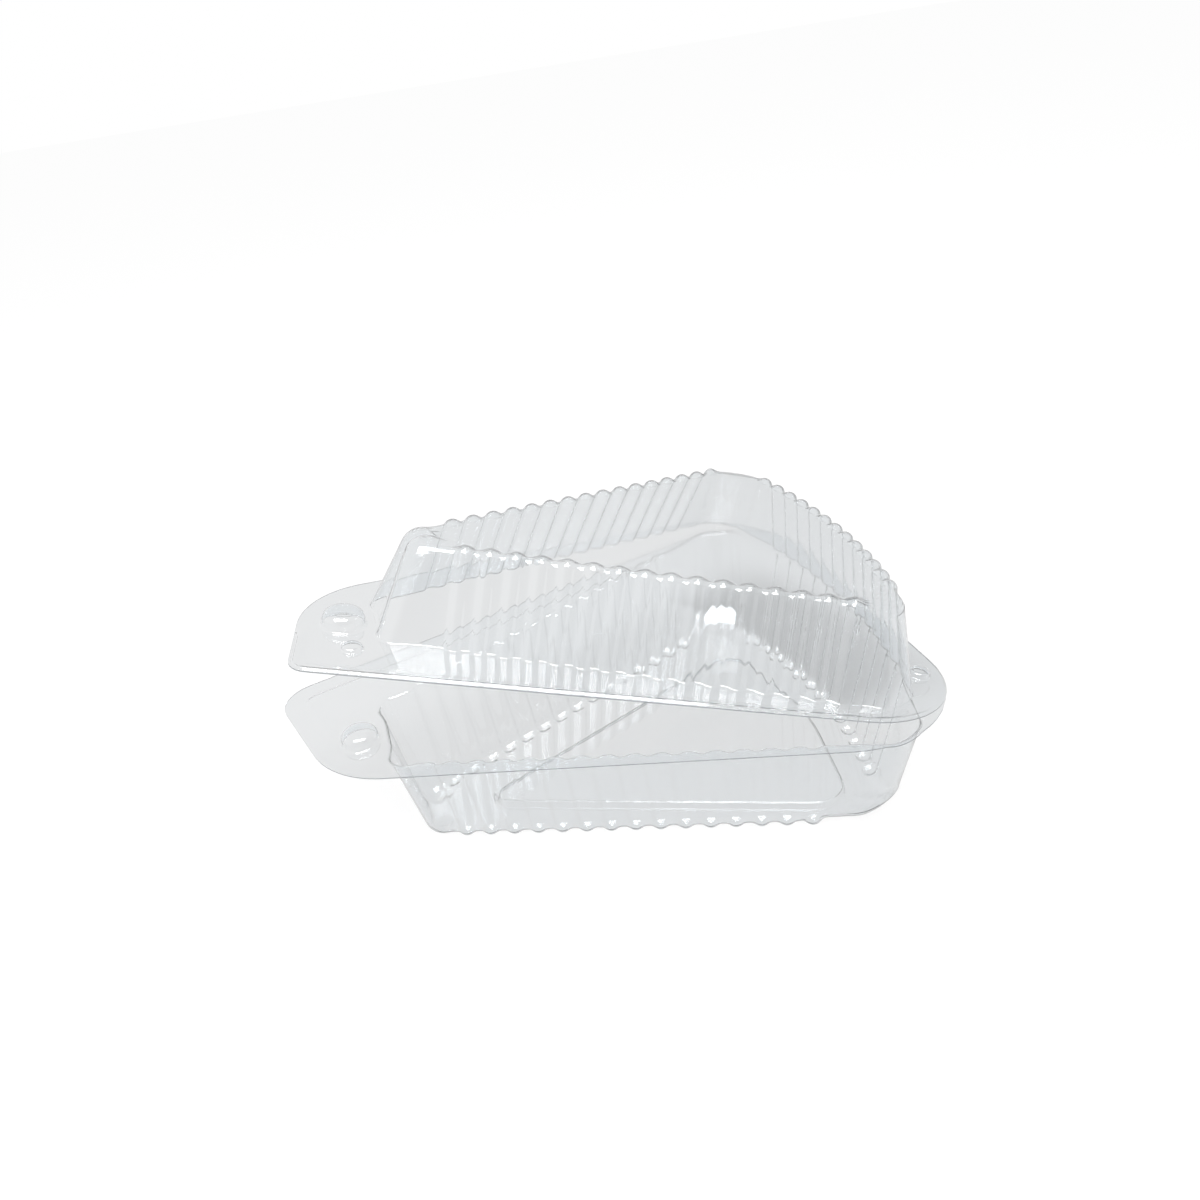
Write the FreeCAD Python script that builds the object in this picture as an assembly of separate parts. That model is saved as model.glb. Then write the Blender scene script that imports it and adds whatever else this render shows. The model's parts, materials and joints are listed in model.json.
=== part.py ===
import FreeCAD, Part
import math
import os

# Wedge-shaped clear plastic clamshell pack: a tray and a lid formed in one
# sheet and joined by a living hinge along the wide end. The lid is drawn in
# the half-open position in which its fold holds it.
# Frame: X from the point of the wedge to the fold, Y across, Z up. The origin
# is on the table, under the middle of the pack. Sizes along X in the sheet are
# counted from the apex where the wedge's side lines meet.

doc = FreeCAD.newDocument("pack")
sheet = doc.addObject("Spreadsheet::Sheet", "Sizes")
SIZES = [
    ("half_angle", 22.5),        # half of the wedge's point angle, degrees
    ("sheet_gauge", 0.5),        # thickness of the formed sheet
    ("fold_x", 162.5),           # the fold's distance from the apex
    ("middle_x", 75.0),          # the middle of the pack's length, the same way
    ("lid_opening", 13.8),       # how far the lid stands open, degrees
    ("tray_depth", 32.7),        # rim to the land between the tray's feet
    ("lid_depth", 24.4),         # rim to the lid's top panel
    ("tray_rim_offset", 7.8),    # side wall outside the wedge line, at the rim
    ("tray_end_offset", 0.7),    # the same at the closed end
    ("tray_rim_tip", 15.1),      # x of the front wall, at the rim
    ("tray_end_tip", 20.5),
    ("tray_rim_crust", 158.0),   # radius of the curved wall, at the rim
    ("tray_end_crust", 150.5),
    ("lid_rim_offset", 3.6),
    ("lid_end_offset", -5.2),
    ("lid_rim_tip", 16.6),
    ("lid_end_tip", 25.0),
    ("lid_rim_crust", 156.0),
    ("lid_end_crust", 149.5),
    ("rib_radius", 2.6),
    ("rib_proud", 1.1),          # ribs stand this far out of wall and panel
    ("side_rib_count", 16),
    ("crust_rib_count", 13),
    ("tray_rib_pitch", 7.0),
    ("tray_rib_start", 32.2),    # first rib, along the wedge line
    ("lid_rib_pitch", 6.6),
    ("lid_rib_start", 37.5),
    ("crust_rib_step", 2.45),    # angle between the curved wall's ribs
    ("tip_corner", 6.0),         # crest radius of the two front corners
    ("crust_corner", 13.0),      # crest radius of the two rear corners
    ("edge_round", 1.2),         # wall into closed end
    ("foot_flat", 0.12),         # how much the round feet are flattened
    ("floor_rise", 1.8),         # the raised panel in the tray's floor
    ("knob_x", 7.6),             # the snap knob on both rims
    ("knob_y", -0.6),
    ("knob_radius", 5.7),
    ("knob_height", 4.8),
    ("knob_round", 2.2),
    ("knob_clearance", 0.3),
    ("dimple_x", 8.6),           # small round stud beside the lid's knob
    ("dimple_y", -14.0),
    ("dimple_radius", 2.7),
    ("dimple_height", 1.2),
    ("lug_x", 154.5),            # oval lug on the lid's rim near the fold
    ("lug_y", -45.0),
    ("lug_radius", 3.0),
    ("lug_height", 1.8),
]
for row, (name, value) in enumerate(SIZES, start=1):
    sheet.set("A%d" % row, name)
    sheet.set("B%d" % row, str(value))
    sheet.setAlias("B%d" % row, name)
doc.recompute()


def size(name):
    return float(sheet.get(name))


half_angle = math.radians(size("half_angle"))
SIN_A, COS_A = math.sin(half_angle), math.cos(half_angle)
gauge = size("sheet_gauge")
rib_radius = size("rib_radius")
rib_proud = size("rib_proud")
BEYOND = 1.0   # cutters run this far past the rim plane
UP = FreeCAD.Vector(0, 0, 1)


# A cup is described in its own frame: the rim lies in z = 0 and the closed
# end is at z = depth. The tray is this cup turned over.
class Cup:
    def __init__(self, key):
        self.depth = size(key + "_depth")
        self.rim = [size(key + "_rim_" + part) for part in ("offset", "tip", "crust")]
        self.end = [size(key + "_end_" + part) for part in ("offset", "tip", "crust")]
        self.pitch = size(key + "_rib_pitch")
        self.start = size(key + "_rib_start")

    def at(self, z):
        share = z / self.depth
        return [a + (b - a) * share for a, b in zip(self.rim, self.end)]


def tip_centre(offset, tip, radius):
    x = tip + radius
    return x, (offset - radius + x * SIN_A) / COS_A


def crust_centre(offset, crust, radius):
    reach = crust - radius
    angle = half_angle + math.asin((offset - radius) / reach)
    return reach * math.cos(angle), reach * math.sin(angle)


def vector(x, y, z):
    return FreeCAD.Vector(x, y, z)


def arc_through(a, centre, radius, direction, b):
    middle = centre + FreeCAD.Vector(direction).normalize() * radius
    return Part.Arc(a, middle, b).toShape()


def wall_outline(cup, z, inset):
    """Closed outline of the walls' lands at height z, moved in by inset."""
    offset, tip, crust = cup.at(z)
    offset, tip, crust = offset - inset, tip + inset, crust - inset
    tip_r = size("tip_corner") - rib_proud - inset
    crust_r = size("crust_corner") - rib_proud - inset
    tx, ty = tip_centre(offset, tip, tip_r)
    cx, cy = crust_centre(offset, crust, crust_r)
    out_far = vector(-SIN_A, COS_A, 0)
    out_near = vector(-SIN_A, -COS_A, 0)
    far_tip, near_tip = vector(tx, ty, z), vector(tx, -ty, z)
    far_crust, near_crust = vector(cx, cy, z), vector(cx, -cy, z)
    away = vector(cx, cy, 0).normalize()
    mirror = vector(cx, -cy, 0).normalize()
    front_far, front_near = vector(tip, ty, z), vector(tip, -ty, z)
    side_far_a = far_tip + out_far * tip_r
    side_far_b = far_crust + out_far * crust_r
    side_near_a = near_tip + out_near * tip_r
    side_near_b = near_crust + out_near * crust_r
    rear_far = vector(0, 0, z) + away * crust
    rear_near = vector(0, 0, z) + mirror * crust
    edges = [
        Part.makeLine(front_near, front_far),
        arc_through(front_far, far_tip, tip_r, out_far - vector(1, 0, 0), side_far_a),
        Part.makeLine(side_far_a, side_far_b),
        arc_through(side_far_b, far_crust, crust_r, out_far + away, rear_far),
        arc_through(rear_far, vector(0, 0, z), crust, vector(1, 0, 0), rear_near),
        arc_through(rear_near, near_crust, crust_r, out_near + mirror, side_near_b),
        Part.makeLine(side_near_b, side_near_a),
        arc_through(side_near_a, near_tip, tip_r, out_near - vector(1, 0, 0), front_near),
    ]
    return Part.Wire(edges)


def round_bar(foot, head, radius):
    """A bar from below foot to a half-round end about head."""
    axis = head - foot
    length = axis.Length
    below = -4.0 * BEYOND
    profile = Part.Wire([
        Part.makeLine(vector(0, 0, below), vector(radius, 0, below)),
        Part.makeLine(vector(radius, 0, below), vector(radius, 0, length)),
        Part.Arc(vector(radius, 0, length),
                 vector(radius * math.sqrt(0.5), 0, length + radius * math.sqrt(0.5)),
                 vector(0, 0, length + radius)).toShape(),
        Part.makeLine(vector(0, 0, length + radius), vector(0, 0, below)),
    ])
    bar = Part.Face(profile).revolve(vector(0, 0, 0), UP, 360)
    bar.Placement = FreeCAD.Placement(foot, FreeCAD.Rotation(UP, axis))
    return bar


def rib_lines(cup):
    """Foot and head centre of every rib and corner, with its crest radius."""
    lines = []

    def add(find, radius):
        rim = cup.at(0.0)
        z_head = cup.depth + rib_proud - radius
        head = cup.at(cup.depth)
        x0, y0 = find(rim)
        x1, y1 = find(head)
        for side in (1, -1):
            foot = vector(x0, y0 * side, 0)
            top = vector(x1, y1 * side, cup.depth)
            share = z_head / cup.depth
            lines.append((foot, foot + (top - foot) * share, radius))
            if abs(y0) < 1e-6:
                break

    for i in range(int(size("side_rib_count"))):
        along = cup.start + cup.pitch * i

        def on_side(level, along=along):
            out = level[0] + rib_proud - rib_radius
            return along * COS_A - out * SIN_A, along * SIN_A + out * COS_A
        add(on_side, rib_radius)
    count = int(size("crust_rib_count"))
    for i in range(count // 2 + 1):
        turn = math.radians(size("crust_rib_step") * i)

        def on_crust(level, turn=turn):
            reach = level[2] + rib_proud - rib_radius
            return reach * math.cos(turn), reach * math.sin(turn)
        add(on_crust, rib_radius)
    tip_r, crust_r = size("tip_corner"), size("crust_corner")
    add(lambda level: tip_centre(level[0] + rib_proud, level[1] - rib_proud, tip_r), tip_r)
    add(lambda level: crust_centre(level[0] + rib_proud, level[2] + rib_proud, crust_r), crust_r)
    return lines


def cup_solid(cup, inset, bottom):
    """The cup as a full block, moved in by inset, from z = bottom to its end."""
    top = cup.depth - inset
    body = Part.makeLoft([wall_outline(cup, bottom, inset), wall_outline(cup, top, inset)], True, True)
    rim_edges = [e for e in body.Edges if e.BoundBox.ZMin > top - 1e-4]
    body = body.makeFillet(size("edge_round") - inset, rim_edges)
    bars = [round_bar(foot, head, radius - inset) for foot, head, radius in rib_lines(cup)]
    block = body.multiFuse(bars)
    keep = Part.makeBox(220, 220, 100, vector(-20, -110, bottom))
    return block.common(keep)


def rounded_face(corners, z):
    """Flat face with a radius at each corner: corners are (x, y, radius)."""
    edges = []
    ends = []
    count = len(corners)
    for i in range(count):
        x, y, radius = corners[i]
        here = vector(x, y, z)
        before = vector(corners[i - 1][0], corners[i - 1][1], z) - here
        after = vector(corners[(i + 1) % count][0], corners[(i + 1) % count][1], z) - here
        before.normalize()
        after.normalize()
        half = before.getAngle(after) / 2
        reach = radius / math.tan(half)
        middle = (before + after).normalize()
        centre = here + middle * (radius / math.sin(half))
        ends.append((here + before * reach, centre - middle * radius, here + after * reach))
    for i in range(count):
        start, middle, stop = ends[i]
        edges.append(Part.Arc(start, middle, stop).toShape())
        edges.append(Part.makeLine(stop, ends[(i + 1) % count][0]))
    return Part.Face(Part.Wire(edges))


def rounded_plate(corners, z, height):
    return rounded_face(corners, z).extrude(vector(0, 0, height))


def knob(x, y, radius, height, rounding, sign):
    """Round stud standing on z = 0, along sign * Z, with a rounded top."""
    body = Part.makeCylinder(radius, height, vector(x, y, 0), vector(0, 0, sign))
    top = [e for e in body.Edges if abs(e.BoundBox.ZMin - sign * height) < 1e-6
           and abs(e.BoundBox.ZMax - sign * height) < 1e-6]
    return body.makeFillet(rounding, top)


def hollow_knob(solid, x, y, radius, height, rounding, sign):
    """Adds a formed stud of sheet to a flange that fills z = 0 to gauge."""
    base = 0.0 if sign < 0 else gauge
    outer = knob(x, y, radius, height + (base if sign > 0 else 0.0), rounding, sign)
    start = gauge + BEYOND if sign < 0 else -BEYOND
    inner = knob(x, y, radius - gauge, height - gauge + (base if sign > 0 else 0.0),
                 rounding - gauge, sign)
    clear = Part.makeCylinder(radius - gauge, abs(start), vector(x, y, 0), vector(0, 0, -sign))
    return solid.fuse(outer).cut(inner.fuse(clear))


FOLD_CORNER = 27.0
TRAY_RIM = [(-1.8, -14.7, 28.0), (-15.0, 33.4, 10.0), (162.5, 72.2, FOLD_CORNER),
            (162.5, -77.8, FOLD_CORNER)]
LID_RIM = [(-7.6, -22.2, 5.0), (-1.6, 17.2, 28.0), (162.5, 71.7, FOLD_CORNER),
           (162.5, -75.1, FOLD_CORNER)]
FLOOR_PANEL = [(34.0, -3.0, 4.0), (134.0, 36.0, 9.0), (141.0, -8.0, 60.0), (133.0, -52.0, 9.0)]


def tray_shape():
    cup = Cup("tray")
    outer = cup_solid(cup, 0.0, 0.0)
    inner = cup_solid(cup, gauge, -BEYOND)
    # The floor's raised panel, seen from below as a shallow recess.
    rise = size("floor_rise")
    under = rounded_face([(x, -y, r) for x, y, r in FLOOR_PANEL], cup.depth - rise)
    above = under.makeOffset2D(gauge)
    above.translate(vector(0, 0, -gauge))
    outer = outer.cut(under.extrude(vector(0, 0, rise + BEYOND)))
    inner = inner.cut(above.extrude(vector(0, 0, rise + gauge + BEYOND)))
    flange = rounded_plate([(x, -y, r) for x, y, r in TRAY_RIM], 0.0, gauge)
    shell = outer.fuse(flange).cut(inner)
    shell = hollow_knob(shell, size("knob_x"), -size("knob_y"), size("knob_radius"),
                        size("knob_height"), size("knob_round"), -1)
    feet = Part.makeBox(220, 220, 20, vector(-20, -110, cup.depth + rib_proud - size("foot_flat")))
    return shell.cut(feet)


def lid_shape():
    cup = Cup("lid")
    outer = cup_solid(cup, 0.0, 0.0)
    inner = cup_solid(cup, gauge, -BEYOND)
    flange = rounded_plate(LID_RIM, 0.0, gauge)
    shell = outer.fuse(flange).cut(inner)
    room = size("knob_clearance") + gauge
    shell = hollow_knob(shell, size("knob_x"), size("knob_y"), size("knob_radius") + room,
                        size("knob_height") + room - gauge, size("knob_round") + room, 1)
    shell = hollow_knob(shell, size("dimple_x"), size("dimple_y"), size("dimple_radius"),
                        size("dimple_height"), 1.0, 1)
    return hollow_knob(shell, size("lug_x"), size("lug_y"), size("lug_radius"),
                       size("lug_height"), 1.2, 1)


rim_height = size("tray_depth") + rib_proud - size("foot_flat")


def add_node(name, shape, placement):
    node = doc.addObject("Part::Feature", name)
    node.Label = name
    node.Shape = shape
    node.Placement = placement
    return node


over = FreeCAD.Rotation(vector(1, 0, 0), 180)
tray = add_node("tray", tray_shape(),
                FreeCAD.Placement(vector(-size("middle_x"), 0, rim_height), over))

to_fold = FreeCAD.Placement(vector(-size("fold_x"), 0, 0), FreeCAD.Rotation())
opened = FreeCAD.Placement(vector(size("fold_x") - size("middle_x"), 0, rim_height),
                           FreeCAD.Rotation(vector(0, 1, 0), size("lid_opening")))
lid = add_node("lid", lid_shape(), opened * to_fold)

doc.recompute()
os.makedirs("parts", exist_ok=True)
for node in (tray, lid):
    if "Invalid" in node.State or "Error" in node.State:
        raise RuntimeError(node.Label + " did not recompute")
    if node.Shape.isNull() or not node.Shape.isValid():
        raise RuntimeError(node.Label + " has no valid shape")
for node in (tray, lid):
    node.Shape.exportStep("parts/" + node.Label + ".step")
    print(node.Label, "volume", round(node.Shape.Volume), "mm3", "solids", len(node.Shape.Solids))
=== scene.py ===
import json
import math
import bmesh
import bpy
from mathutils import Matrix, Vector


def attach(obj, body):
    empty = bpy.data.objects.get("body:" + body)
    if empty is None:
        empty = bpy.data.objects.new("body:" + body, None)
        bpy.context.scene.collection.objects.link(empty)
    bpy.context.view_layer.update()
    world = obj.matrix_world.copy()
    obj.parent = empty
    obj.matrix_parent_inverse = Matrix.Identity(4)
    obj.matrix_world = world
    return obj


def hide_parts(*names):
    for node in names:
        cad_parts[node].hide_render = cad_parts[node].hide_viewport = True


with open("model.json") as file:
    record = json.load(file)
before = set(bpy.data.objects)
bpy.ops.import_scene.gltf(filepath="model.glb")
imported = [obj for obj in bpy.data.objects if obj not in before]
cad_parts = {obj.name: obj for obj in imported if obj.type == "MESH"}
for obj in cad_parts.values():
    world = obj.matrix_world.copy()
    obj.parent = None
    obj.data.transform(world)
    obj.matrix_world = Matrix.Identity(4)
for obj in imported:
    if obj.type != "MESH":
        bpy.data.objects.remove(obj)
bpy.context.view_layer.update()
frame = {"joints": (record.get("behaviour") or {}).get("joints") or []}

scene = bpy.context.scene

# Sizes are in millimetres, counted in a cup's own frame: the two rims meet in
# z = 0, the closed end is at z = depth, and x is counted from the apex of the
# wedge's side lines. The tray is its cup turned over.
MM = 0.001
HALF_ANGLE = math.radians(22.5)
SIN_A = math.sin(HALF_ANGLE)
COS_A = math.cos(HALF_ANGLE)
ALONG_SIDE = Vector((COS_A, SIN_A))
OUT_OF_SIDE = Vector((-SIN_A, COS_A))
APEX_TO_MIDDLE = 75.0
APEX_TO_FOLD = 162.5
GAUGE = 0.3

fold = frame["joints"][0]
RIM_HEIGHT = fold["pos_m"][2] / MM
LID_OPENING = math.radians(-fold["range_deg"][0])

# A rim stops a hair short of the other rim when the pack is shut, and of the
# fold line, where the other half begins when the pack is laid flat.
RIM_FACE = GAUGE + 0.05
FOLD_EDGE = APEX_TO_FOLD - 0.06

# Ribs are round bars, of which only the crest stands proud of the wall.
RIB_RADIUS = 2.6
RIB_PROUD = 1.1
RIB_HALF = math.sqrt(RIB_RADIUS ** 2 - (RIB_RADIUS - RIB_PROUD) ** 2)
SIDE_RIBS = 16
CURVE_RIBS = 13
CURVE_STEP = math.radians(2.45)

# Radii of the corners in plan, and the least that they keep on inner rings.
TIP_CORNER = 6.0
TIP_CORNER_LEAST = 0.4
REAR_CORNER = 13.0
REAR_CORNER_LEAST = 0.8

# Radii of the edges in section: between wall and closed end, with what the
# front corners add to it, and between wall and rim.
EDGE_ROUND = 1.3
TIP_EXTRA = 2.2
FOOT_ROUND = 1.0

# How many stations each stretch of the wall's outline has, and where they lie
# across a rib, as shares of half its width.
FRONT_STEPS = 8
TIP_STEPS = 30
JOIN_STEPS = 4
CORNER_STEPS = 22
SHOULDER_STEPS = 3
ACROSS_RIB = (-1.3, -1.08, -0.92, -0.75, -0.5, -0.25, 0.0, 0.25, 0.5, 0.75, 0.92, 1.08, 1.3)

# The ribs' stations stop short of the rear corner by this length and this angle.
SIDE_STOP_GAP = 0.3
CURVE_STOP_GAP = 0.003

# A rear corner's edge is wide. Its two ends have this share of the full radius,
# the share grows towards its middle, and it fades out along the walls beside it.
# An angle on the curved wall becomes a length at this distance from the apex.
CORNER_END_SHARE = 0.35
CORNER_GROWTH = 1.3
CORNER_FADE = 10.0
CURVE_REACH = 150.0

# A rear corner swells out of the wall over a fifth of its length at each end.
CORNER_SWELL = 5

# On the closed end the ribs' heads start at a ring this far in from the edge's
# round, but no further from the wall's outline than the limit, and they rise to
# their full height over the next stretch.
WIDEST_INSET = 5.4
INSET_LIMIT = 10.9
RIB_FADE = 2.0

# The raised panel in the tray's floor, as corners (x, y, radius) seen from above,
# and its rings as (distance inside its outline, height). It is pressed in towards
# the rim, so its heights are negative.
FLOOR_PANEL = [(34.0, -3.0, 4.0), (134.0, 36.0, 9.0), (141.0, -8.0, 60.0), (133.0, -51.0, 9.0)]
FLOOR_RISE = 1.8
PANEL_STEPS = [(1.6, -FLOOR_RISE), (1.1, -FLOOR_RISE), (0.7, -FLOOR_RISE * 0.9),
               (0.1, -FLOOR_RISE * 0.1), (-0.3, 0.0)]

# What a wide corner leaves free beside the panel, and how far apart the rings
# between the two stay at least.
PANEL_GAP = 0.8
PANEL_ROOM_SHARE = 0.95
PANEL_RING_GAP = 0.1

# The rims' outlines as corners (x, y, radius), seen from above.
FOLD_CORNER = 27.0
TRAY_RIM = [(-1.8, -14.7, 28.0), (-15.0, 33.4, 10.0), (FOLD_EDGE, 72.2, FOLD_CORNER),
            (FOLD_EDGE, -77.8, FOLD_CORNER)]
LID_RIM = [(-7.6, -22.2, 5.0), (-1.6, 17.2, 28.0), (FOLD_EDGE, 71.7, FOLD_CORNER),
           (FOLD_EDGE, -75.1, FOLD_CORNER)]

# Rings on the rim, as (distance from the rim's edge, rise): a thin turned bead
# along the lid's near edge, and a step inside the tray's far edge. They rise
# over LIP_FADE from the middle line, and sink again over it before LIP_END.
LID_BEAD = [(4.6, 0.0), (3.8, 0.05), (2.9, 0.20), (2.0, 0.38), (1.5, 0.46), (1.2, 0.47),
            (1.0, 0.42), (0.45, 0.05), (0.2, 0.0), (0.0, 0.0)]
TRAY_STEP = [(7.4, 0.0), (7.0, 0.0), (6.7, 0.05), (6.1, 0.22), (5.7, 0.25), (0.5, 0.25), (0.0, 0.25)]
LIP_FADE = 9.0
LIP_END = 150.0

# The least distance from the foot to the first ring on the rim, and between the next.
RIM_FIRST_GAP = 0.15
RIM_NEXT_GAP = 0.05

# Where the rings lie on the closed end, over the edge in degrees, down the wall
# as shares of its height, and over the foot in degrees.
END_INSETS = (WIDEST_INSET, 4.6, 3.9, 3.4, 3.0, 2.7, 2.45, 2.2, 1.95, 1.7, 1.4, 1.1, 0.8, 0.5, 0.2)
EDGE_TURNS = (0.0, 12.0, 24.0, 36.0, 48.0, 60.0, 75.0)
WALL_SHARES = (0.0, 0.12, 0.3, 0.5, 0.75, 1.0)
FOOT_TURNS = (25.0, 45.0, 65.0, 90.0)
EASE_PASSES = 3
EASE_SHARE = 0.5

# A point well inside the closed end: rays to the floor panel's outline start here.
CENTRE = Vector((95.0, -1.0))

# Rounded outlines: the steps of each corner's arc, and the least radius when moved in.
ARC_STEPS = 14
ARC_LEAST_RADIUS = 0.3

# Differences that count as none: of lengths, of shares, and of two lines' directions.
SMALL = 1e-6
TINY = 1e-9
PARALLEL = 1e-12


def tip_centre(offset, tip, radius):
    """Middle of a front corner that touches a side wall and the front wall."""
    x = tip + radius
    return Vector((x, (offset - radius + x * SIN_A) / COS_A))


def rear_centre(offset, curve, radius):
    """Middle of a rear corner that touches a side wall and the curved wall."""
    reach = curve - radius
    angle = HALF_ANGLE + math.asin((offset - radius) / reach)
    return Vector((reach * math.cos(angle), reach * math.sin(angle)))


class Cup:
    """One half's wall, between its two levels: at the rim and at the closed end.

    A level is (offset from the side line, front x, rear radius). wide_round is the
    radius of the rear corners' edge, and tall is the share by which that edge is
    higher than its radius. bulge is how much further than the ribs the rear
    corners stand out at the closed end.
    """

    def __init__(self, depth, rim, end, rib_start, rib_pitch, side_ribs, wide_round, bulge, tall):
        self.depth = depth
        self.rim = rim
        self.end = end
        self.rib_pitch = rib_pitch
        self.ribs = [rib_start + rib_pitch * i for i in range(side_ribs)]
        self.wide_round = wide_round
        self.bulge = bulge
        self.tall = tall
        corners = [rear_centre(level[0], level[2], REAR_CORNER - RIB_PROUD) for level in (rim, end)]
        side_stops = [corner.dot(ALONG_SIDE) - SIDE_STOP_GAP for corner in corners]
        curve_stops = [math.atan2(corner.y, corner.x) - CURVE_STOP_GAP for corner in corners]
        self.side_start = rib_start - rib_pitch / 2
        self.side_stop = min(side_stops + [self.ribs[-1] + rib_pitch / 2])
        self.curve_stop = min(curve_stops + [CURVE_STEP * CURVE_RIBS / 2])

    def level(self, z):
        """The level at a height between the rim and the closed end."""
        share = z / self.depth
        return [a + (b - a) * share for a, b in zip(self.rim, self.end)]

    def edge_height(self, radius):
        """Height of an edge's round, which is more than its radius where the edge is wide."""
        return radius * (1.0 + self.tall * (radius - EDGE_ROUND) / self.wide_round)


TRAY = Cup(depth=32.7, rim=(7.8, 15.1, 158.0), end=(0.7, 20.5, 150.5), rib_start=32.2,
           rib_pitch=7.0, side_ribs=SIDE_RIBS - 1, wide_round=10.0, bulge=2.2, tall=0.45)
LID = Cup(depth=24.4, rim=(3.6, 16.6, 156.0), end=(-5.2, 25.0, 149.5), rib_start=37.5,
          rib_pitch=6.6, side_ribs=SIDE_RIBS, wide_round=4.0, bulge=0.8, tall=0.0)


# A station is a place along the wall's outline that keeps its meaning at every
# height, as (stretch, place along it).
def even_stations(stretch, steps):
    """Stations at even steps along a stretch, without its end."""
    return [(stretch, i / steps) for i in range(steps)]


def side_stations(cup):
    """Stations over the ribs of a side wall, as places along the side line."""
    places = []
    for middle in cup.ribs:
        places += [middle + RIB_HALF * share for share in ACROSS_RIB]
        places.append(middle + cup.rib_pitch / 2)
    return [("side", place) for place in places if place < cup.side_stop]


def curve_stations(cup):
    """Stations over half the curved wall's ribs, as angles that end in the middle."""
    half = RIB_HALF / (cup.rim[2] + cup.end[2]) * 2
    angles = []
    for i in range(CURVE_RIBS // 2, -1, -1):
        angles.append(CURVE_STEP * (i + 0.5))
        angles += [CURVE_STEP * i + half * share for share in reversed(ACROSS_RIB)]
    return [("curve", angle) for angle in angles if 0 <= angle <= cup.curve_stop + TINY]


def half_stations(cup):
    """Stations from the middle of the front wall to the middle of the curved wall."""
    stations = even_stations("front", FRONT_STEPS)
    stations += even_stations("tip", TIP_STEPS)
    stations += even_stations("lead", JOIN_STEPS)
    stations += side_stations(cup)
    stations += even_stations("tail", JOIN_STEPS)
    stations += even_stations("corner", CORNER_STEPS)
    stations += even_stations("shoulder", SHOULDER_STEPS)
    return stations + curve_stations(cup)


def on_outline(cup, station, level, inset):
    """Plan point and outward normal of a station on the wall's outline moved in by inset."""
    offset, tip, curve = level[0] - inset, level[1] + inset, level[2] - inset
    tip_radius = max(TIP_CORNER - RIB_PROUD - inset, TIP_CORNER_LEAST)
    rear_radius = max(REAR_CORNER - RIB_PROUD - inset, REAR_CORNER_LEAST)
    kind, value = station
    front = tip_centre(offset, tip, tip_radius)
    rear = rear_centre(offset, curve, rear_radius)
    start = front.dot(ALONG_SIDE)
    stop = rear.dot(ALONG_SIDE)
    rear_angle = math.atan2(rear.y, rear.x)
    if kind == "front":
        return Vector((tip, front.y * value)), Vector((-1, 0))
    if kind == "tip":
        turn = math.pi + (math.pi / 2 + HALF_ANGLE - math.pi) * value
        normal = Vector((math.cos(turn), math.sin(turn)))
        return front + normal * tip_radius, normal
    if kind in ("lead", "side", "tail"):
        place = value
        if kind == "lead":
            place = start + (cup.side_start - start) * value
        if kind == "tail":
            place = cup.side_stop + (stop - cup.side_stop) * value
        return ALONG_SIDE * place + OUT_OF_SIDE * offset, OUT_OF_SIDE
    if kind == "corner":
        turn = HALF_ANGLE + math.pi / 2 + (rear_angle - HALF_ANGLE - math.pi / 2) * value
        normal = Vector((math.cos(turn), math.sin(turn)))
        return rear + normal * rear_radius, normal
    turn = rear_angle + (cup.curve_stop - rear_angle) * value if kind == "shoulder" else value
    normal = Vector((math.cos(turn), math.sin(turn)))
    return normal * curve, normal


class Bar:
    """The round bar of a rib or a front corner, from its foot to its round head."""

    def __init__(self, foot, head, radius):
        self.foot = foot
        self.head = head
        self.radius = radius
        self.axis = (head - foot).normalized()
        self.length = (head - foot).length
        self.reach_x = abs(head.x - foot.x) + radius
        self.reach_y = abs(head.y - foot.y) + radius

    def holds(self, point):
        """Whether a point is inside. A box about the bar rules out most points quickly."""
        to_head = point - self.head
        if abs(to_head.x) > self.reach_x or abs(to_head.y) > self.reach_y:
            return False
        height = (point - self.foot).dot(self.axis)
        if height > self.length:
            return to_head.length <= self.radius
        off_axis = (point - self.foot) - self.axis * height
        return off_axis.length <= self.radius

    def way_out(self, point, normal):
        """How far a point inside the bar has to go along normal to leave it."""
        start = point - self.foot
        flat = start - self.axis * start.dot(self.axis)
        turn = normal - self.axis * normal.dot(self.axis)
        a, b, c = turn.dot(turn), flat.dot(turn), flat.dot(flat) - self.radius * self.radius
        if a > SMALL and b * b - a * c >= 0:
            step = (-b + math.sqrt(b * b - a * c)) / a
            if step >= 0 and (start + normal * step).dot(self.axis) <= self.length:
                return step
        start = point - self.head
        b, c = start.dot(normal), start.dot(start) - self.radius * self.radius
        return max(-b + math.sqrt(b * b - c), 0.0) if b * b >= c else 0.0


def bar_pair(cup, ends, radius):
    """The bar between two plan points, at the rim and at the end, and its mirror image."""
    foot = Vector((ends[0].x, ends[0].y, 0))
    top = Vector((ends[1].x, ends[1].y, cup.depth))
    head = foot.lerp(top, (cup.depth + RIB_PROUD - radius) / cup.depth)
    bars = [Bar(foot, head, radius)]
    if abs(foot.y) >= SMALL:
        flip = Vector((1, -1, 1))
        bars.append(Bar(foot * flip, head * flip, radius))
    return bars


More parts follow.
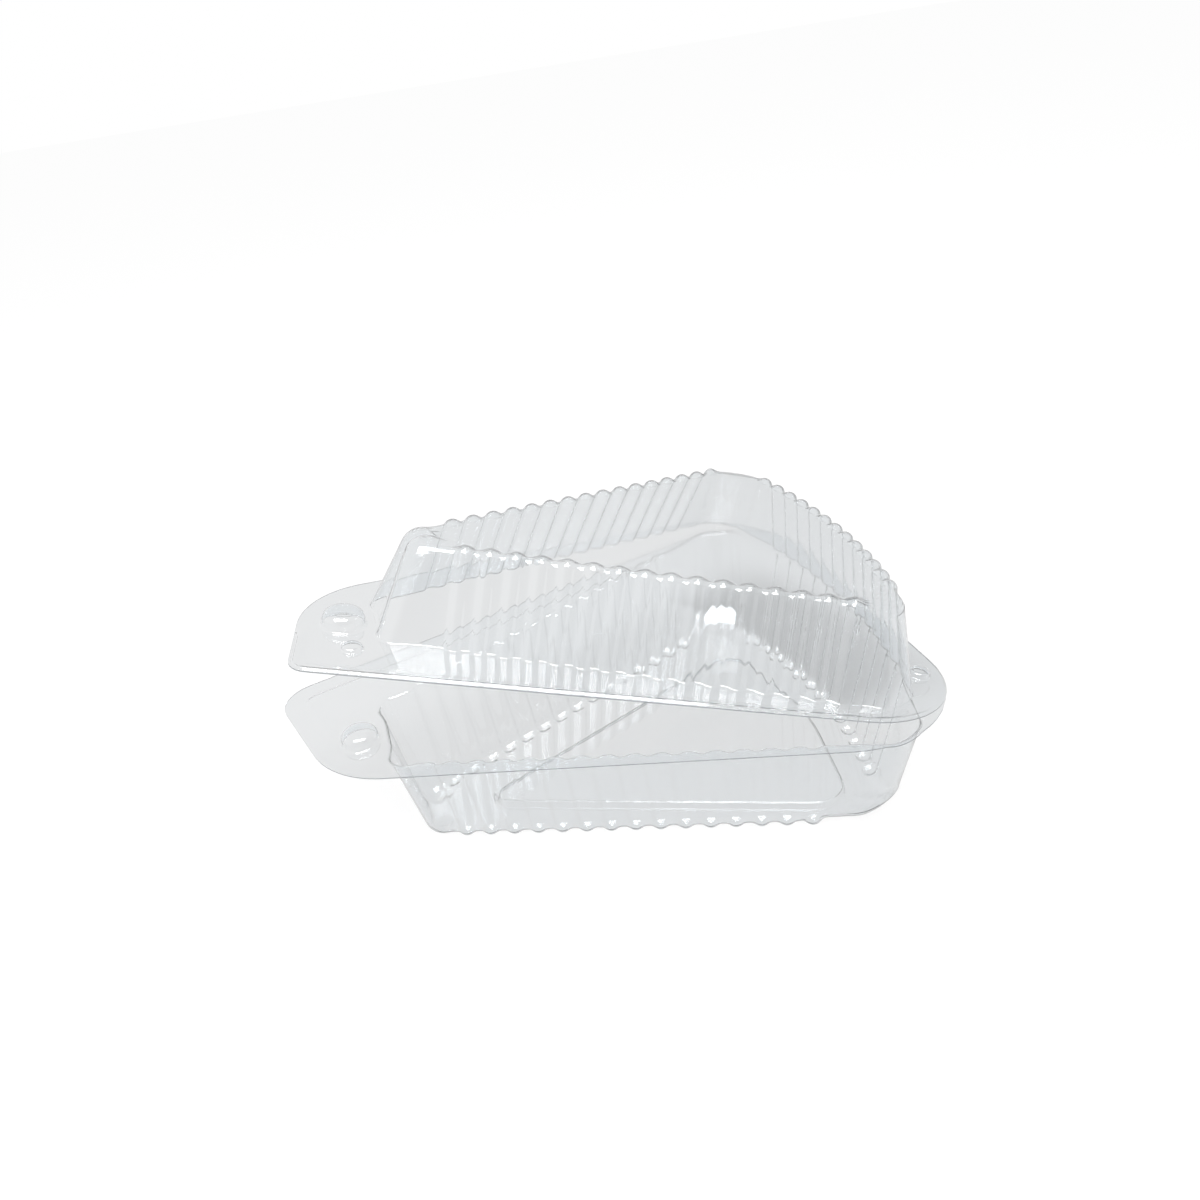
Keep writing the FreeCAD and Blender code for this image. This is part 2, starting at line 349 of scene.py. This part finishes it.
def bars_of(cup):
    """The bars of all the ribs and of both front corners."""
    levels = (cup.rim, cup.end)
    bars = []
    for place in cup.ribs:
        ends = [ALONG_SIDE * place + OUT_OF_SIDE * (level[0] + RIB_PROUD - RIB_RADIUS)
                for level in levels]
        bars += bar_pair(cup, ends, RIB_RADIUS)
    for i in range(CURVE_RIBS // 2 + 1):
        ray = Vector((math.cos(CURVE_STEP * i), math.sin(CURVE_STEP * i)))
        ends = [ray * (level[2] + RIB_PROUD - RIB_RADIUS) for level in levels]
        bars += bar_pair(cup, ends, RIB_RADIUS)
    ends = [tip_centre(level[0] + RIB_PROUD, level[1] - RIB_PROUD, TIP_CORNER) for level in levels]
    return bars + bar_pair(cup, ends, TIP_CORNER)


def smooth_share(value):
    """A soft step from 0 to 1."""
    value = min(max(value, 0.0), 1.0)
    return value * value * (3 - 2 * value)


def corner_proud(cup, station, level):
    """The rear corners stand as far out of the wall as the ribs do, and more at the end."""
    kind, value = station
    if kind != "corner":
        return 0.0
    to_end = (cup.rim[2] - level[2]) / (cup.rim[2] - cup.end[2])
    return (RIB_PROUD + cup.bulge * to_end) * smooth_share(min(value, 1 - value) * CORNER_SWELL)


def edge_radius(cup, station):
    """Radius of the edge between wall and closed end: wider at corners, most at the rear."""
    kind, value = station
    if kind == "tip":
        return EDGE_ROUND + TIP_EXTRA * math.sin(math.pi * value)
    share = 0.0
    if kind == "corner":
        share = CORNER_END_SHARE + CORNER_GROWTH * min(value, 1 - value)
    if kind in ("tail", "shoulder"):
        share = CORNER_END_SHARE
    if kind == "side":
        share = CORNER_END_SHARE * (1 - (cup.side_stop - value) / CORNER_FADE)
    if kind == "curve":
        share = CORNER_END_SHARE * (1 - (cup.curve_stop - value) * CURVE_REACH / CORNER_FADE)
    return EDGE_ROUND + (cup.wide_round - EDGE_ROUND) * smooth_share(share)


def end_inset(station, radius, inset):
    """Distance of a ring on the closed end from the wall's outline, squeezed at wide corners."""
    limit = WIDEST_INSET + EDGE_ROUND if station[0] == "tip" else INSET_LIMIT
    return radius + inset * min(1.0, (limit - radius) / WIDEST_INSET)


def corner_sides(corners, i):
    """A corner's point, and the directions from it to the corners before and after."""
    here = Vector(corners[i][:2])
    before = (Vector(corners[i - 1][:2]) - here).normalized()
    after = (Vector(corners[(i + 1) % len(corners)][:2]) - here).normalized()
    return here, before, after


def rounded_outline(corners):
    """Points of a flat outline with a radius at each corner: corners are (x, y, radius)."""
    points = []
    for i, (_, _, radius) in enumerate(corners):
        here, before, after = corner_sides(corners, i)
        half = before.angle(after) / 2
        centre = here + (before + after).normalized() * (radius / math.sin(half))
        a = here + before * (radius / math.tan(half)) - centre
        b = here + after * (radius / math.tan(half)) - centre
        for k in range(ARC_STEPS + 1):
            angle = a.angle_signed(b) * (k / ARC_STEPS)
            points.append(centre + Matrix.Rotation(-angle, 2) @ a)
    return points


def inset_corners(corners, inset):
    """The same outline moved in by inset on every side."""
    moved = []
    for i, (_, _, radius) in enumerate(corners):
        here, before, after = corner_sides(corners, i)
        reach = inset / math.sin(before.angle(after) / 2)
        place = here + (before + after).normalized() * reach
        moved.append((place.x, place.y, max(radius - inset, ARC_LEAST_RADIUS)))
    return moved


def mirrored(corners):
    """The same outline turned over about the middle line."""
    return [(x, -y, radius) for x, y, radius in corners]


def along_ray(outline, centre, towards):
    """Where the ray from centre through towards leaves a closed outline."""
    ray = towards - centre
    best = None
    for i in range(len(outline)):
        a, b = outline[i - 1] - centre, outline[i] - centre
        span = b - a
        under = ray.x * span.y - ray.y * span.x
        if abs(under) < PARALLEL:
            continue
        reach = (a.x * span.y - a.y * span.x) / under
        share = (a.x * ray.y - a.y * ray.x) / under
        if reach > 0 and -TINY <= share <= 1 + TINY:
            if best is None or reach > best:
                best = reach
    return None if best is None else centre + ray * best


def eased(row):
    """A ring with its creases rounded: each point drawn halfway to its neighbours' line."""
    for _ in range(EASE_PASSES):
        fresh = []
        for i, point in enumerate(row):
            before, after = row[i - 1], row[(i + 1) % len(row)]
            near, far = (point - before).length, (after - point).length
            line = before.lerp(after, near / max(near + far, TINY))
            fresh.append(point.lerp(line, EASE_SHARE))
        row = fresh
    return row


class Walls:
    """Finds the points of a cup's rings, one for each station on either side of the middle."""

    def __init__(self, cup, floor_panel):
        half = half_stations(cup)
        self.cup = cup
        self.stations = [(s, 1) for s in half] + [(s, -1) for s in reversed(half[1:-1])]
        self.bars = bars_of(cup)
        self.end = cup.level(cup.depth)
        self.floor_panel = floor_panel
        if floor_panel:
            self.panel_foot = rounded_outline(inset_corners(floor_panel, PANEL_STEPS[-1][0]))

    def ring(self, find, *values):
        """A closed ring, its points found by one of the functions below."""
        return eased([find(station, side, *values) for station, side in self.stations])

    def plan(self, station, side, level, inset, proud=1.0):
        """Plan point and normal on a side of the middle, with the rear corners standing proud."""
        place, normal = on_outline(self.cup, station, level, inset)
        place = place + normal * corner_proud(self.cup, station, level) * proud
        return Vector((place.x, place.y * side)), Vector((normal.x, normal.y * side))

    def edge_at(self, station, side):
        """Radius of the edge at a station, kept clear of the floor panel."""
        radius = edge_radius(self.cup, station)
        if not self.floor_panel or station[0] != "corner":
            return radius
        place = self.plan(station, side, self.end, 0.0, 0.0)[0]
        room = (place - along_ray(self.panel_foot, CENTRE, place)).length
        return min(radius, room * PANEL_ROOM_SHARE - PANEL_GAP)

    def raised(self, place, normal):
        """A point of the wall moved out along normal onto the rib or corner over it."""
        steps = [bar.way_out(place, normal) for bar in self.bars if bar.holds(place)]
        return place + normal * max(steps, default=0.0)

    def clear_of_panel(self, place, inset):
        """Keeps a ring outside the floor panel where the panel comes near the wall."""
        if not self.floor_panel:
            return place
        panel_place = along_ray(self.panel_foot, CENTRE, place)
        least = (panel_place - CENTRE).length + (WIDEST_INSET - inset) * PANEL_RING_GAP
        away = place - CENTRE
        return place if away.length > least else CENTRE + away.normalized() * least

    def on_panel(self, station, side, outline, height):
        """A point of the floor panel: the rings run along its outline."""
        inset = end_inset(station, self.edge_at(station, side), WIDEST_INSET)
        inner = self.plan(station, side, self.end, inset, 0.0)[0]
        place = along_ray(outline, CENTRE, inner)
        return Vector((place.x, place.y, self.cup.depth + height))

    def on_end(self, station, side, inset):
        """A point of the closed end, where the ribs' heads rise towards the edge."""
        depth = self.cup.depth
        distance = end_inset(station, self.edge_at(station, side), inset)
        place = self.plan(station, side, self.end, distance, 0.0)[0]
        place = self.clear_of_panel(place, inset)
        top = self.raised(Vector((place.x, place.y, depth)), Vector((0, 0, 1)))
        top.z = depth + (top.z - depth) * smooth_share((WIDEST_INSET - inset) / RIB_FADE)
        return top

    def on_edge(self, station, side, turn):
        """A point of the round edge between the closed end and the wall."""
        radius = self.edge_at(station, side)
        tall = self.cup.edge_height(radius)
        z = self.cup.depth - tall * (1 - math.cos(turn))
        level = self.cup.level(self.cup.depth - tall * math.sin(turn) ** 2)
        place, normal = self.plan(station, side, level, radius * (1 - math.sin(turn)), math.sin(turn))
        out = Vector((normal.x * math.sin(turn), normal.y * math.sin(turn), math.cos(turn)))
        return self.raised(Vector((place.x, place.y, z)), out)

    def on_wall(self, station, side, share):
        """A point of the wall, share of the way down from the edge to the foot."""
        tall = self.cup.edge_height(self.edge_at(station, side))
        z = FOOT_ROUND + (self.cup.depth - tall - FOOT_ROUND) * (1 - share)
        place, normal = self.plan(station, side, self.cup.level(z), 0.0)
        return self.raised(Vector((place.x, place.y, z)), Vector((normal.x, normal.y, 0.0)))

    def on_foot(self, station, side, turn):
        """A point of the flare from the wall into the flat rim."""
        z = FOOT_ROUND * (1 - math.sin(turn)) + RIM_FACE * math.sin(turn)
        place, normal = self.plan(station, side, self.cup.level(FOOT_ROUND), 0.0)
        out = Vector((normal.x, normal.y, 0.0))
        crest = self.raised(Vector((place.x, place.y, FOOT_ROUND)), out)
        return Vector((crest.x, crest.y, z)) + out * (FOOT_ROUND * (1 - math.cos(turn)))

    def rim_ring(self, wall_ring, step, outline, rise):
        """A ring on the rim: along its outline, but always outside the ring before it."""
        row = []
        for point, (station, side) in zip(wall_ring, self.stations):
            start, normal = self.plan(station, side, self.cup.rim, 0.0)
            foot = Vector((point.x, point.y))
            reach = (foot - start).dot(normal) + RIM_FIRST_GAP + RIM_NEXT_GAP * step
            edge = along_ray(outline, start, start + normal)
            if edge is not None:
                reach = max((edge - start).dot(normal), reach)
            place = start + normal * reach
            share = smooth_share(-place.y / LIP_FADE) * smooth_share((LIP_END - place.x) / LIP_FADE)
            row.append(Vector((place.x, place.y, RIM_FACE + rise * share)))
        return row


def cup_rings(cup, floor_panel, rim_corners, rim_profile):
    """Rings of points from the middle of the closed end over the wall to the rim's edge."""
    walls = Walls(cup, floor_panel)
    rings = []
    if floor_panel:
        for inset, height in PANEL_STEPS:
            outline = rounded_outline(inset_corners(floor_panel, inset))
            rings.append(walls.ring(walls.on_panel, outline, height))
    rings += [walls.ring(walls.on_end, inset) for inset in END_INSETS]
    rings += [walls.ring(walls.on_edge, math.radians(turn)) for turn in EDGE_TURNS]
    rings += [walls.ring(walls.on_wall, share) for share in WALL_SHARES]
    rings += [walls.ring(walls.on_foot, math.radians(turn)) for turn in FOOT_TURNS]
    wall_ring = rings[-1]
    for step, (inset, rise) in enumerate(rim_profile):
        outline = rounded_outline(inset_corners(rim_corners, inset))
        rings.append(walls.rim_ring(wall_ring, step, outline, rise))
    return rings


def in_order(parts):
    """Each part once, in the order that they come in."""
    return list(dict.fromkeys(parts))


def skin(bm, rings):
    """A smooth sheet through rings of points, its middle closed by one flat face."""
    loop = bmesh.ops.create_circle(bm, cap_ends=True, segments=len(rings[0]), radius=1.0)["verts"]
    edges = in_order(e for v in loop for e in v.link_edges)
    for edge in edges:
        edge.smooth = False
    for vert, point in zip(loop, rings[0]):
        vert.co = point
    for row in rings[1:]:
        grown = bmesh.ops.extrude_edge_only(bm, edges=edges)["geom"]
        edges = [g for g in grown if isinstance(g, bmesh.types.BMEdge)]
        fresh = {g for g in grown if isinstance(g, bmesh.types.BMVert)}
        loop = [next(e.other_vert(v) for e in v.link_edges if e.other_vert(v) in fresh) for v in loop]
        for vert, point in zip(loop, row):
            vert.co = point


# Each stud is (middle x, middle y, radius, height, top rounding, foot flare). The
# tray's knob stands away from its cup, so its values are those of its hollow side.
TRAY_KNOB = (7.6, 0.6, 4.8, 3.8, 1.8, 1.2)
LID_KNOB = (7.6, -0.6, 5.5, 4.2, 2.4, 0.9)
LID_DIMPLE = (8.6, -14.0, 2.7, 1.2, 0.8, 0.4)
LID_LUG = (154.5, -45.0, 3.0, 1.7, 1.2, 0.4)
STUD_SIDES = 48
STUD_TOP_STEPS = 8
STUD_FOOT_STEPS = 5
STUD_TOP_MARGIN = 0.6

# A stud's hole cuts only faces this level, and within so many radii. A vertex is on
# the hole's edge within this slack, and vertices this near each other become one.
HOLE_LEVEL = 0.2
HOLE_REACH = 4
HOLE_SLACK = 1.01
STUD_WELD = 1e-3
RING_WELD = 1e-4


def stud_section(radius, height, rounding, flare):
    """Half section of a stud from its top middle to its flared foot."""
    points = [(0.0, height), (radius - rounding - STUD_TOP_MARGIN, height)]
    for i in range(1, STUD_TOP_STEPS):
        turn = math.pi / 2 * i / STUD_TOP_STEPS
        points.append((radius - rounding + rounding * math.sin(turn),
                       height - rounding + rounding * math.cos(turn)))
    points.append((radius, height - rounding))
    for i in range(STUD_FOOT_STEPS + 1):
        turn = math.pi / 2 * i / STUD_FOOT_STEPS
        points.append((radius + flare * (1 - math.cos(turn)), flare * (1 - math.sin(turn))))
    return points


def cut_hole(bm, middle, radius):
    """A round hole in the flat rim, cut one straight side at a time."""
    def flat_and_near(face):
        level = all(abs(v.co.z - middle.z) < HOLE_LEVEL for v in face.verts)
        return level and min((v.co - middle).length for v in face.verts) < HOLE_REACH * radius

    inside = [face for face in bm.faces if flat_and_near(face)]
    for i in range(STUD_SIDES):
        turn = 2 * math.pi * (i + 0.5) / STUD_SIDES
        out = Vector((math.cos(turn), math.sin(turn), 0))
        side = middle + out * radius * math.cos(math.pi / STUD_SIDES)
        edges = in_order(e for f in inside for e in f.edges)
        verts = in_order(v for e in edges for v in e.verts)
        cut = bmesh.ops.bisect_plane(bm, geom=inside + edges + verts, dist=SMALL,
                                     plane_co=side, plane_no=out)
        faces = [g for g in cut["geom"] if isinstance(g, bmesh.types.BMFace)]
        inside = [f for f in faces if (f.calc_center_median() - side).dot(out) < 0]
    bmesh.ops.delete(bm, geom=inside, context="FACES")


def add_stud(bm, stud, sign):
    """Forms a round stud in the rim: a hole, and a turned cap welded into it."""
    x, y, radius, height, rounding, flare = stud
    middle = Vector((x, y, RIM_FACE))
    foot = radius + flare
    cut_hole(bm, middle, foot)
    step = 2 * math.pi / STUD_SIDES
    edge = [v for v in bm.verts if v.is_boundary and (v.co - middle).length < foot * HOLE_SLACK]
    for vert in edge:
        out = vert.co - middle
        turn = round(math.atan2(out.y, out.x) / step) * step
        vert.co = middle + Vector((math.cos(turn), math.sin(turn), 0)) * foot
    rim = set(bm.verts)
    section = stud_section(radius, height, rounding, flare)
    start = [bm.verts.new(middle + Vector((r, 0, sign * z))) for r, z in section]
    edges = [bm.edges.new(pair) for pair in zip(start, start[1:])]
    bmesh.ops.spin(bm, geom=start + edges, cent=middle, axis=(0, 0, 1), dvec=(0, 0, 0),
                   angle=2 * math.pi, steps=STUD_SIDES, use_merge=True, use_duplicate=False)
    cap = [v for v in bm.verts if v not in rim]
    bmesh.ops.remove_doubles(bm, verts=cap + edge, dist=STUD_WELD)


def in_tray(point):
    """A cup's point turned over and put in the tray's place."""
    return Vector((point.x - APEX_TO_MIDDLE, -point.y, RIM_HEIGHT - point.z)) * MM


def in_lid(point):
    """A cup's point put in the lid's closed place, and turned about the fold by the opening."""
    from_fold = Vector((point.x - APEX_TO_FOLD, point.y, point.z))
    turned = Matrix.Rotation(LID_OPENING, 3, "Y") @ from_fold
    return (turned + Vector((APEX_TO_FOLD - APEX_TO_MIDDLE, 0, RIM_HEIGHT))) * MM


def node_tree(owner):
    """The nodes and links of a material or world, emptied."""
    owner.use_nodes = True
    owner.node_tree.nodes.clear()
    return owner.node_tree.nodes, owner.node_tree.links


def toned_plastic(name, noise_scale, tones):
    """A material whose colour drifts between two tones, with its shader and its noise."""
    material = bpy.data.materials.new(name)
    nodes, links = node_tree(material)
    out = nodes.new("ShaderNodeOutputMaterial")
    shader = nodes.new("ShaderNodeBsdfPrincipled")
    place = nodes.new("ShaderNodeTexCoord")
    noise = nodes.new("ShaderNodeTexNoise")
    noise.inputs["Scale"].default_value = noise_scale
    tone = nodes.new("ShaderNodeMix")
    tone.data_type = "RGBA"
    tone.inputs["A"].default_value = tones[0]
    tone.inputs["B"].default_value = tones[1]
    links.new(place.outputs["Object"], noise.inputs["Vector"])
    links.new(noise.outputs["Fac"], tone.inputs["Factor"])
    links.new(tone.outputs["Result"], shader.inputs["Base Color"])
    links.new(shader.outputs["BSDF"], out.inputs["Surface"])
    return material, shader, noise


def clear_plastic():
    """Clear sheet, faintly cool, with the slight waviness of formed plastic."""
    tones = ((0.950, 0.966, 0.976, 1), (0.962, 0.974, 0.983, 1))
    material, shader, noise = toned_plastic("clear_pet", 90.0, tones)
    shader.inputs["Roughness"].default_value = 0.04
    shader.inputs["IOR"].default_value = 1.5
    shader.inputs["Transmission Weight"].default_value = 1.0
    noise.inputs["Detail"].default_value = 1.0
    bump = material.node_tree.nodes.new("ShaderNodeBump")
    bump.inputs["Strength"].default_value = 0.06
    bump.inputs["Distance"].default_value = 0.0004
    links = material.node_tree.links
    links.new(noise.outputs["Fac"], bump.inputs["Height"])
    links.new(bump.outputs["Normal"], shader.inputs["Normal"])
    return material


def painted_shade_edge():
    """The sheet's cut edge: matt, and painted dark grey as painted shade for the dark line along a
    clear sheet's edge, so that it shows as a fine grey line.
    """
    # Painted shade: these dark greys stand in for the dark line that light makes along the clear
    # sheet's edge.
    tones = ((0.13, 0.14, 0.15, 1), (0.20, 0.21, 0.22, 1))
    material, shader, _ = toned_plastic("painted_shade_edge", 60.0, tones)
    shader.inputs["Roughness"].default_value = 0.4
    return material


CLEAR = clear_plastic()
# The cut edge's material, painted dark grey as painted shade for the edge line.
PAINTED_SHADE_EDGE = painted_shade_edge()


def finish_sheet(name, bm, place, node):
    """Puts the sheet in its place and gives it its wall."""
    bmesh.ops.remove_doubles(bm, verts=bm.verts, dist=RING_WELD)
    for vert in bm.verts:
        vert.co = place(vert.co)
    bmesh.ops.recalc_face_normals(bm, faces=bm.faces)
    mesh = bpy.data.meshes.new(name)
    bm.to_mesh(mesh)
    bm.free()
    mesh.shade_smooth()
    mesh.materials.append(CLEAR)
    mesh.materials.append(PAINTED_SHADE_EDGE)
    piece = bpy.data.objects.new(name, mesh)
    scene.collection.objects.link(piece)
    wall = piece.modifiers.new("sheet", "SOLIDIFY")
    wall.thickness = GAUGE * MM
    wall.offset = -1.0
    # The sheet's rim faces get the second material, the cut edge painted dark grey as painted shade.
    wall.material_offset_rim = 1
    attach(piece, node)
    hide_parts(node)


def make_tray():
    bm = bmesh.new()
    skin(bm, cup_rings(TRAY, mirrored(FLOOR_PANEL), mirrored(TRAY_RIM), TRAY_STEP))
    add_stud(bm, TRAY_KNOB, -1)
    finish_sheet("tray_sheet", bm, in_tray, "tray")


def make_lid():
    bm = bmesh.new()
    skin(bm, cup_rings(LID, None, LID_RIM, LID_BEAD))
    for stud in (LID_KNOB, LID_DIMPLE, LID_LUG):
        add_stud(bm, stud, 1)
    finish_sheet("lid_sheet", bm, in_lid, "lid")


# The camera stands where the photograph's did: worked out from the wedge's
# straight edges, the ribs' spacing and the fold line.
CAMERA_TARGET = Vector((16.9, 45.8, 30.0)) * MM
CAMERA_AZIMUTH = math.radians(-13.08)
CAMERA_ELEVATION = math.radians(30.2)
CAMERA_ROLL = math.radians(-8.36)
CAMERA_DISTANCE = 343.7 * MM
FOCAL_PIXELS = 1027.7
IMAGE_PIXELS = 1200.0
SENSOR = 36.0


def add_camera():
    """A camera that looks at its target from its azimuth and elevation, and is rolled."""
    a, e, r = CAMERA_AZIMUTH, CAMERA_ELEVATION, CAMERA_ROLL
    back = Vector((math.sin(a) * math.cos(e), -math.cos(a) * math.cos(e), math.sin(e)))
    right = Vector((math.cos(a), math.sin(a), 0))
    up = back.cross(right)
    rolled_right = right * math.cos(r) + up * math.sin(r)
    rolled_up = up * math.cos(r) - right * math.sin(r)
    data = bpy.data.cameras.new("camera")
    data.sensor_width = SENSOR
    data.lens = FOCAL_PIXELS * SENSOR / IMAGE_PIXELS
    data.clip_start = 0.01
    data.clip_end = 50.0
    camera = bpy.data.objects.new("camera", data)
    place = Matrix((rolled_right, rolled_up, back)).transposed().to_4x4()
    place.translation = CAMERA_TARGET + back * CAMERA_DISTANCE
    camera.matrix_world = place
    scene.collection.objects.link(camera)
    scene.camera = camera


def combine(nodes, links, operation, first, second):
    """One sum, product or the like of two values."""
    result = nodes.new("ShaderNodeMath")
    result.operation = operation
    links.new(first, result.inputs[0])
    links.new(second, result.inputs[1])
    return result.outputs["Value"]


def smooth_range(nodes, links, value, span, to_min, to_max):
    """A soft step of value over span, from to_min to to_max."""
    step = nodes.new("ShaderNodeMapRange")
    step.interpolation_type = "SMOOTHSTEP"
    step.inputs["From Min"].default_value = span[0]
    step.inputs["From Max"].default_value = span[1]
    step.inputs["To Min"].default_value = to_min
    step.inputs["To Max"].default_value = to_max
    links.new(value, step.inputs["Value"])
    return step.outputs["Result"]


# The photograph's white comes from its cut-out: the sheet itself still shows the
# pale grey that it stood on, so rays through the sheet see that grey.
SEEN_WHITE = 1.0
SEEN_THROUGH = 0.762
FLOOR_SHADOW_SHARE = 0.06
FLOOR_COLOUR = (0.85, 0.85, 0.85, 1)
FLOOR_HALF = 4.0


def backdrop_level(nodes, links):
    """The floor's glow, white to the camera and pale grey to other rays, and which rays see it."""
    path = nodes.new("ShaderNodeLightPath")
    to_camera = path.outputs["Is Camera Ray"]
    level = nodes.new("ShaderNodeMapRange")
    level.inputs["To Min"].default_value = SEEN_THROUGH
    level.inputs["To Max"].default_value = SEEN_WHITE
    links.new(to_camera, level.inputs["Value"])
    through, off = path.outputs["Is Transmission Ray"], path.outputs["Is Glossy Ray"]
    by_plastic = combine(nodes, links, "MAXIMUM", through, off)
    return level.outputs["Result"], combine(nodes, links, "MAXIMUM", to_camera, by_plastic)


# The shadow lies outside the tray's curved wall: distances from the wedge's apex in
# metres, and angles about the apex, each as (where it starts, where it is full).
APEX = Vector((-APEX_TO_MIDDLE, 0, 0)) * MM
SHADOW_INNER = (0.149, 0.154)
SHADOW_OUTER = (0.198, 0.176)
SHADOW_NEAR = (math.radians(-7.0), math.radians(1.0))
SHADOW_FAR = (math.radians(36.0), math.radians(24.0))
SHADOW_LEVEL = 0.73


def shadow_behind(nodes, links):
    """The pack's soft shadow behind its curved wall, as it shows through the sheet only."""
    place = nodes.new("ShaderNodeTexCoord")
    moved = nodes.new("ShaderNodeVectorMath")
    moved.operation = "SUBTRACT"
    moved.inputs[1].default_value = APEX
    length = nodes.new("ShaderNodeVectorMath")
    length.operation = "LENGTH"
    split = nodes.new("ShaderNodeSeparateXYZ")
    links.new(place.outputs["Object"], moved.inputs[0])
    links.new(moved.outputs["Vector"], length.inputs[0])
    links.new(moved.outputs["Vector"], split.inputs["Vector"])
    reach = length.outputs["Value"]
    angle = combine(nodes, links, "ARCTAN2", split.outputs["Y"], split.outputs["X"])
    dark = smooth_range(nodes, links, reach, SHADOW_INNER, 0.0, 1.0)
    for value, span in ((reach, SHADOW_OUTER), (angle, SHADOW_NEAR), (angle, SHADOW_FAR)):
        part = smooth_range(nodes, links, value, span, 0.0, 1.0)
        dark = combine(nodes, links, "MULTIPLY", dark, part)
    shade = nodes.new("ShaderNodeMapRange")
    shade.inputs["To Min"].default_value = 1.0
    shade.inputs["To Max"].default_value = SHADOW_LEVEL
    links.new(dark, shade.inputs["Value"])
    path = nodes.new("ShaderNodeLightPath")
    return combine(nodes, links, "MAXIMUM", shade.outputs["Result"], path.outputs["Is Camera Ray"])


def floor_material():
    """A floor that glows at the backdrop's level and keeps a faint share of real shadow."""
    material = bpy.data.materials.new("white_floor")
    nodes, links = node_tree(material)
    out = nodes.new("ShaderNodeOutputMaterial")
    glow = nodes.new("ShaderNodeEmission")
    matt = nodes.new("ShaderNodeBsdfDiffuse")
    matt.inputs["Color"].default_value = FLOOR_COLOUR
    mix = nodes.new("ShaderNodeMixShader")
    share = nodes.new("ShaderNodeMath")
    share.operation = "MULTIPLY"
    share.inputs[1].default_value = 1.0 - FLOOR_SHADOW_SHARE
    level, seen = backdrop_level(nodes, links)
    shaded = combine(nodes, links, "MULTIPLY", level, shadow_behind(nodes, links))
    links.new(shaded, glow.inputs["Strength"])
    links.new(seen, share.inputs[0])
    links.new(share.outputs["Value"], mix.inputs["Fac"])
    links.new(matt.outputs["BSDF"], mix.inputs[1])
    links.new(glow.outputs["Emission"], mix.inputs[2])
    links.new(mix.outputs["Shader"], out.inputs["Surface"])
    return material


def add_floor():
    mesh = bpy.data.meshes.new("floor")
    bm = bmesh.new()
    bmesh.ops.create_grid(bm, x_segments=1, y_segments=1, size=FLOOR_HALF)
    bm.to_mesh(mesh)
    bm.free()
    mesh.materials.append(floor_material())
    floor = bpy.data.objects.new("floor", mesh)
    scene.collection.objects.link(floor)


# The studio is pale on the left and darker on the right, and darkest behind the
# camera. Each step runs over a span of the direction's x or y.
SKY_LEFT = 0.93
SKY_RIGHT = 0.65
SKY_ACROSS = (-0.3, 0.8)
SKY_BEHIND_CAMERA = 0.35
SKY_FORWARD = (-0.95, -0.3)


def add_world():
    """The studio, which the camera itself sees as white."""
    world = bpy.data.worlds.new("studio")
    scene.world = world
    nodes, links = node_tree(world)
    out = nodes.new("ShaderNodeOutputWorld")
    light = nodes.new("ShaderNodeBackground")
    white = nodes.new("ShaderNodeBackground")
    white.inputs["Color"].default_value = (1, 1, 1, 1)
    place = nodes.new("ShaderNodeTexCoord")
    split = nodes.new("ShaderNodeSeparateXYZ")
    path = nodes.new("ShaderNodeLightPath")
    mix = nodes.new("ShaderNodeMixShader")
    links.new(place.outputs["Generated"], split.inputs["Vector"])
    across = smooth_range(nodes, links, split.outputs["X"], SKY_ACROSS, SKY_LEFT, SKY_RIGHT)
    behind = smooth_range(nodes, links, split.outputs["Y"], SKY_FORWARD, SKY_BEHIND_CAMERA, 1.0)
    links.new(combine(nodes, links, "MULTIPLY", across, behind), light.inputs["Color"])
    links.new(path.outputs["Is Camera Ray"], mix.inputs["Fac"])
    links.new(light.outputs["Background"], mix.inputs[1])
    links.new(white.outputs["Background"], mix.inputs[2])
    links.new(mix.outputs["Shader"], out.inputs["Surface"])


# One wide oval softbox hangs over the front of the pack. Metres and watts.
SOFTBOX_PLACE = Vector((-0.1, -0.35, 0.95))
SOFTBOX_AIM = Vector((0, 0, 0.03))
SOFTBOX_LENGTH = 1.1
SOFTBOX_WIDTH = 0.72
SOFTBOX_POWER = 24.0


def add_softbox():
    data = bpy.data.lights.new("softbox_top", "AREA")
    data.shape = "ELLIPSE"
    data.size = SOFTBOX_LENGTH
    data.size_y = SOFTBOX_WIDTH
    data.energy = SOFTBOX_POWER
    lamp = bpy.data.objects.new("softbox_top", data)
    lamp.location = SOFTBOX_PLACE
    lamp.rotation_euler = (SOFTBOX_PLACE - SOFTBOX_AIM).to_track_quat("Z", "Y").to_euler()
    scene.collection.objects.link(lamp)


# Light crosses many layers of sheet before it reaches the camera.
LIGHT_BOUNCES = 40

make_tray()
make_lid()
add_camera()
add_floor()
add_world()
add_softbox()
scene.view_settings.view_transform = "Standard"
scene.cycles.max_bounces = LIGHT_BOUNCES
scene.cycles.transmission_bounces = LIGHT_BOUNCES
scene.cycles.transparent_max_bounces = LIGHT_BOUNCES
